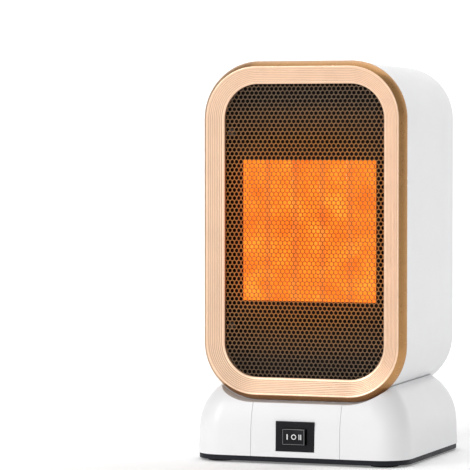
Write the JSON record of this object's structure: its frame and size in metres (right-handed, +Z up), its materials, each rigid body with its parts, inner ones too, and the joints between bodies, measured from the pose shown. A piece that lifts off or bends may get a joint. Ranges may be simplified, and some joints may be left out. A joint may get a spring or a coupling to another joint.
{
  "type": "ceramic space heater",
  "caption": "Small upright ceramic fan heater with a round-cornered body, honeycomb front grille, domed base, rocker switch and rear finger pocket.",
  "frame": {"origin": "centre of the bounding box in X and Y, on the floor under the feet", "axes": "+Z up, the front with its grille and switch faces -Y, the cord gland points along +Y, +X to the right seen from the front"},
  "size_m": [0.1412, 0.1448, 0.2525],
  "materials": {
    "white_plastic": "satin gloss white ABS",
    "rose_gold": "rose gold metallic plating on ABS, fine turned grooves",
    "dark_mesh": "dark bronze heat-proof paint",
    "grey_plastic": "matte",
    "black_plastic": "matte",
    "switch_black": "semi-gloss",
    "heat_plastic": "matte glass-filled",
    "fan_plastic": "matte",
    "rubber": "matte",
    "fin_aluminium": "plain rolled sheet",
    "ceramic": "sintered ceramic",
    "steel": "zinc plated",
    "motor_steel": "drawn can",
    "magnet": "ferrite",
    "bronze": "sintered",
    "terminal_brass": "plated blades",
    "board_green": "solder mask",
    "board_black": "moulded parts",
    "block_white": "polyamide"
  },
  "bodies": {
    "heater": {"front_trim": "rose_gold", "front_mesh": "dark_mesh", "mesh_frame": "heat_plastic", "trim_screws": "steel", "main_housing": "white_plastic", "rear_panel": "white_plastic", "panel_screws": "steel", "handle_cup": "grey_plastic", "air_duct": "heat_plastic", "duct_screws": "steel", "ptc_bars": "fin_aluminium", "ptc_stones": "ceramic", "ptc_electrodes": "terminal_brass", "ptc_fins": "fin_aluminium", "heater_cap_bottom": "heat_plastic", "heater_cap_top": "heat_plastic", "thermal_cutout": "steel", "thermal_fuse": "terminal_brass", "fan_shroud": "fan_plastic", "shroud_screws": "steel", "motor_can": "motor_steel", "motor_end_cap": "black_plastic", "motor_bushes": "bronze", "motor_magnets": "magnet", "motor_screws": "steel", "base_shell": "white_plastic", "switch_panel": "white_plastic", "switch_body": "switch_black", "switch_terminals": "terminal_brass", "base_plate": "black_plastic", "foot_front_left": "rubber", "foot_front_right": "rubber", "foot_rear_left": "rubber", "foot_rear_right": "rubber", "base_screws": "steel", "neck_screws": "steel", "wire_grommet": "rubber", "cord_gland": "black_plastic", "terminal_block": "block_white", "control_board": "board_green", "board_parts": "board_black", "board_screws": "steel", "tip_switch_body": "black_plastic", "tip_spring": "steel"},
    "fan": {"fan_impeller": "fan_plastic", "motor_shaft": "steel", "motor_rotor": "motor_steel"},
    "rocker": {"switch_rocker": "switch_black"},
    "plunger": {"tip_plunger": "block_white"}
  },
  "joints": [
    {"name": "fan_spin", "type": "hinge", "parent": "heater", "child": "fan", "pos_m": [0, 0.01975, 0.1455], "axis": [0, 1, 0], "continuous": true},
    {"name": "rocker_tilt", "type": "hinge", "parent": "heater", "child": "rocker", "pos_m": [0, -0.06765, 0.0177], "axis": [0, 0, 1], "range_deg": [-10, 10]},
    {"name": "tip_plunger_slide", "type": "slide", "parent": "heater", "child": "plunger", "axis": [0, 0, 1], "range_m": [-0.004, 0], "stiffness_N_per_m": 100, "springref_m": -0.006, "deforming": ["tip_spring"]}
  ]
}
